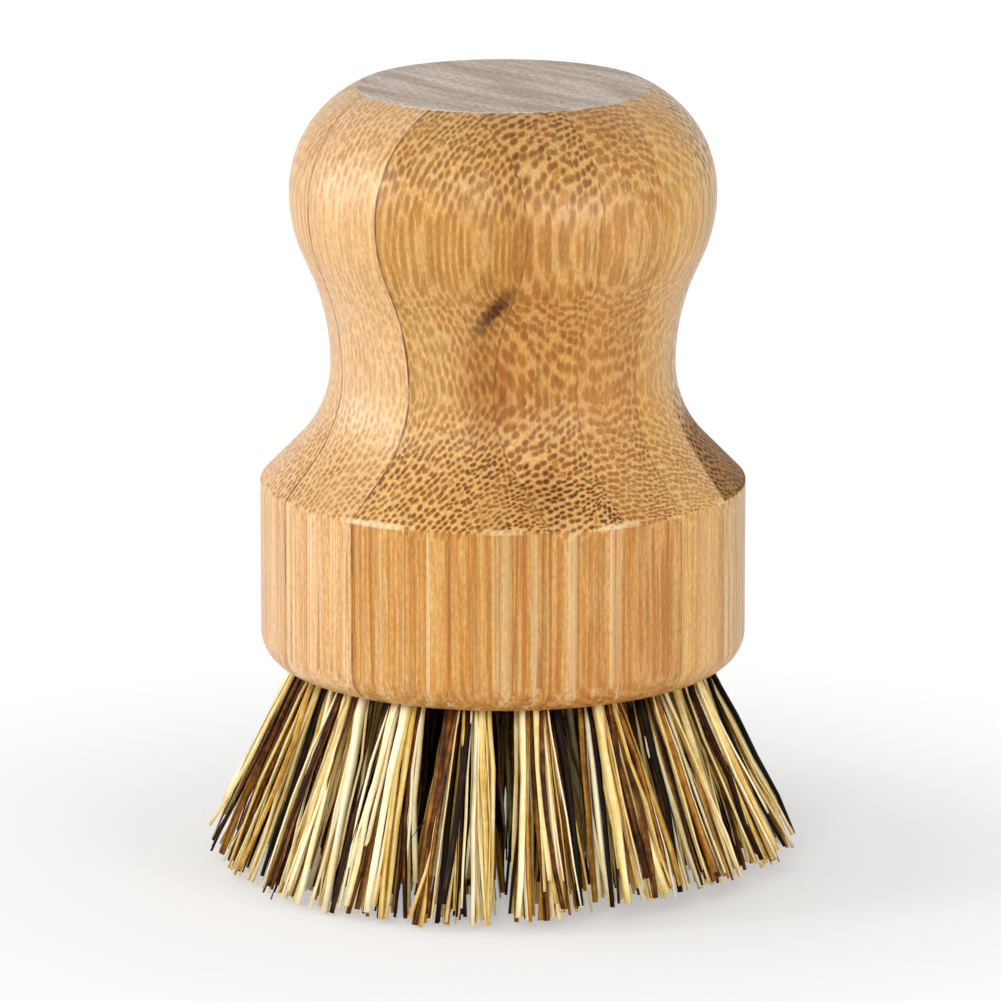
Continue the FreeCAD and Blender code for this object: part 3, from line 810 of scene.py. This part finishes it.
def fibres_of_tuft(name, ring, angle, chance):
    """Root, tip, half width and tone of each fibre: together at the hole, fanned out at the trimmed tips."""
    # Tone strays at random from tuft to tuft, and is painted darker on the left and lighter on the right, as
    # painted shade against the light from the left
    bias = chance.uniform(-TONE_STRAY_AND_PAINTED_SHADE, TONE_STRAY_AND_PAINTED_SHADE) + TONE_STRAY_AND_PAINTED_SHADE * math.cos(math.radians(angle))
    for index in range(FIBRES_IN_TUFT):
        # Even spread over the hole's mouth, kept in the same order at the tips
        share = math.sqrt((index + 0.5) / FIBRES_IN_TUFT)
        spoke = EVEN_TURN * index + chance.uniform(-TURN_STRAY, TURN_STRAY)
        spread = Vector((share * math.cos(spoke), share * math.sin(spoke), 0))
        root = Vector((ring * HOLE_PITCH, 0, FACE_LEVEL)) + spread * HOLE_REACH
        tip = Vector((ring * TIP_PITCH, 0, 0)) + spread * TIP_REACH
        # The outermost fibres are worn shorter
        worn = OUTER_WEAR * max(0.0, spread.x) ** 2 if ring == OUTER_RING else 0.0
        scatter = STRAY_REACH if chance.random() < STRAY_SHARE else TIP_SCATTER
        aside = (chance.gauss(0, TIP_SCATTER), chance.gauss(0, scatter))
        tip += Vector((*aside, LEAST_TIP + worn + abs(chance.gauss(*UNEVEN_TIP))))
        # At the front the tips are trimmed shorter to the right and longer to the left
        spot = Matrix.Rotation(math.radians(angle), 3, "Z") @ tip
        side = spot.x * max(0.0, -spot.y)
        tip.z += side * (SLANT_RIGHT if side > 0 else SLANT_LEFT)
        if chance.random() < BROKEN_SHARE:
            tip = tip.lerp(root, chance.uniform(*BROKEN_LENGTH))
        tip.xy = tip.xy * min(1.0, TIP_LIMIT / tip.xy.length)
        root -= (tip - root).normalized() * ROOT_DEPTH
        width = chance.uniform(*(WIDE_FIBRE if chance.random() < WIDE_SHARE else FINE_FIBRE))
        yield root, tip, width, fibre_tone(chance, bias)
    for root, tip, width, tone in LOOSE_FIBRES.get(name, ()):
        yield Vector(root), Vector(tip), width, tone


def tuft_piece(name, ring, angle, template, material):
    """One tuft as a single piece. Each fibre has a strip of the piece's map to itself."""
    chance = random.Random(name)
    tuft = bmesh.new()
    single = bpy.data.meshes.new("single_fibre")
    strips = FIBRES_IN_TUFT + len(LOOSE_FIBRES.get(name, ()))
    for index, (root, tip, width, tone) in enumerate(fibres_of_tuft(name, ring, angle, chance)):
        fibre = lay_fibre(template, root, tip, width, tone, chance)
        strip = fibre.loops.layers.uv["OFBake"]
        for face in fibre.faces:
            for loop in face.loops:
                across, up = loop[strip].uv
                loop[strip].uv = ((index + across) / strips, up)
        fibre.to_mesh(single)
        fibre.free()
        tuft.from_mesh(single)
    turn = Matrix.Rotation(math.radians(angle), 4, "Z")
    bmesh.ops.transform(tuft, matrix=Matrix.Scale(MM, 4) @ turn, verts=tuft.verts)
    bmesh.ops.recalc_face_normals(tuft, faces=tuft.faces)
    mesh = bpy.data.meshes.new(name)
    tuft.to_mesh(mesh)
    tuft.free()
    bpy.data.meshes.remove(single)
    mesh.materials.append(material)
    piece = bpy.data.objects.new(name, mesh)
    scene.collection.objects.link(piece)
    return piece


def dress_tufts():
    """Show each tuft of the frame as its fibres, and give the anchors their steel."""
    template = straight_fibre()
    material = fibre_material()
    for ring in range(RINGS):
        count = max(1, HOLES_MORE * ring)
        for index in range(count):
            node = f"tuft_ring{ring}_{index + 1:02d}" if ring else "tuft_centre"
            angle = -90 + 360 / count * (index + 0.5)
            piece = tuft_piece(node.replace("tuft", "fibres"), ring, angle, template, material)
            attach(piece, "root")
            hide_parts(node)
    template.free()
    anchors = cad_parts["tuft_anchors"]
    anchors.data.materials.clear()
    anchors.data.materials.append(steel_material())


def white_rays(tree):
    """1 for rays that see the surroundings straight, in a reflection or through something clear."""
    path = tree.nodes.new("ShaderNodeLightPath").outputs
    mirrored = maths(tree, "MAXIMUM", path["Is Glossy Ray"], path["Is Transmission Ray"])
    return maths(tree, "MAXIMUM", path["Is Camera Ray"], mirrored)


# Floor, lamps and camera, in metres
FLOOR_HALF_WIDTH = 4
FLOOR_GREY = (0.94, 0.94, 0.94, 1)
WHITE = (1, 1, 1, 1)
# Distances from the brush between which the floor's shadow fades, and how white the floor is at both
SHADOW_FADE = (0.03, 0.1, 0.4, 1.0)
FLOOR_ROUGHNESS = 0.9
FLOOR_SHINE = 0.1
SKY_STRENGTH = 0.4
# Lamp: place, width, height, power
LAMPS = {
    "key_left": ((-0.93, -0.22, 0.38), 0.3, 0.5, 4.0),
    "edge_left": ((-0.95, 0.24, 0.2), 0.25, 0.35, 2.2),
    "front": ((-0.24, -1.12, 0.66), 0.6, 0.4, 7.0),
    "fill_right": ((0.66, -0.76, 0.24), 0.5, 0.35, 4.0),
}
LAMP_AIM = Vector((0, 0, 0.05))
CAMERA_PLACE = Vector((0, -0.9741, 0.2710))
CAMERA_AIM = Vector((-0.00028, 0, 0.04216))
CAMERA_LENS = 317.3
CAMERA_SENSOR = 36
CAMERA_CLIP = 0.05


def floor_material():
    """Pale floor that keeps the brush's shadow."""
    material, tree, shader = new_material("pale_floor")
    feed(tree, shader.inputs["Base Color"], FLOOR_GREY)
    feed(tree, shader.inputs["Roughness"], FLOOR_ROUGHNESS)
    feed(tree, shader.inputs["Specular IOR Level"], FLOOR_SHINE)
    # Away from the brush the floor looks plain white
    away = length(tree, tree.nodes.new("ShaderNodeTexCoord").outputs["Object"])
    share = times(tree, white_rays(tree), ease(tree, away, *SHADOW_FADE))
    white = add(tree, "ShaderNodeEmission", {"Color": WHITE, "Strength": 1.0})
    blend = add(tree, "ShaderNodeMixShader", {0: share, 1: shader.outputs[0], 2: white.outputs[0]})
    # Seen from below, the floor is clear
    clear = tree.nodes.new("ShaderNodeBsdfTransparent")
    below = tree.nodes.new("ShaderNodeNewGeometry").outputs["Backfacing"]
    seen = add(tree, "ShaderNodeMixShader", {0: below, 1: blend.outputs[0], 2: clear.outputs[0]})
    feed(tree, tree.nodes["Material Output"].inputs["Surface"], seen.outputs[0])
    return material


def lay_floor():
    """Flat floor under the tips."""
    shape = bmesh.new()
    bmesh.ops.create_grid(shape, x_segments=1, y_segments=1, size=FLOOR_HALF_WIDTH)
    mesh = bpy.data.meshes.new("floor")
    shape.to_mesh(mesh)
    shape.free()
    mesh.materials.append(floor_material())
    floor = bpy.data.objects.new("floor", mesh)
    scene.collection.objects.link(floor)


def light_studio():
    """White surroundings and soft lamps."""
    world = bpy.data.worlds.new("studio")
    scene.world = world
    world.use_nodes = True
    tree = world.node_tree
    background = tree.nodes["Background"]
    strength = maths(tree, "MULTIPLY_ADD", white_rays(tree), 1 - SKY_STRENGTH, SKY_STRENGTH)
    feed(tree, background.inputs["Color"], WHITE)
    feed(tree, background.inputs["Strength"], strength)
    for name, (place, wide, high, power) in LAMPS.items():
        data = bpy.data.lights.new(name, "AREA")
        data.shape = "RECTANGLE"
        data.size = wide
        data.size_y = high
        data.energy = power
        lamp = bpy.data.objects.new(name, data)
        lamp.location = place
        lamp.rotation_euler = (LAMP_AIM - Vector(place)).to_track_quat("-Z", "Y").to_euler()
        scene.collection.objects.link(lamp)


def set_camera():
    """Long lens, a little above the rim, straight at the front."""
    data = bpy.data.cameras.new("camera")
    data.sensor_width = CAMERA_SENSOR
    data.lens = CAMERA_LENS
    data.clip_start = CAMERA_CLIP
    camera = bpy.data.objects.new("camera", data)
    camera.location = CAMERA_PLACE
    camera.rotation_euler = (CAMERA_AIM - CAMERA_PLACE).to_track_quat("-Z", "Y").to_euler()
    scene.collection.objects.link(camera)
    scene.camera = camera
    scene.view_settings.view_transform = "Standard"


dress_block()
dress_tufts()
lay_floor()
light_studio()
set_camera()
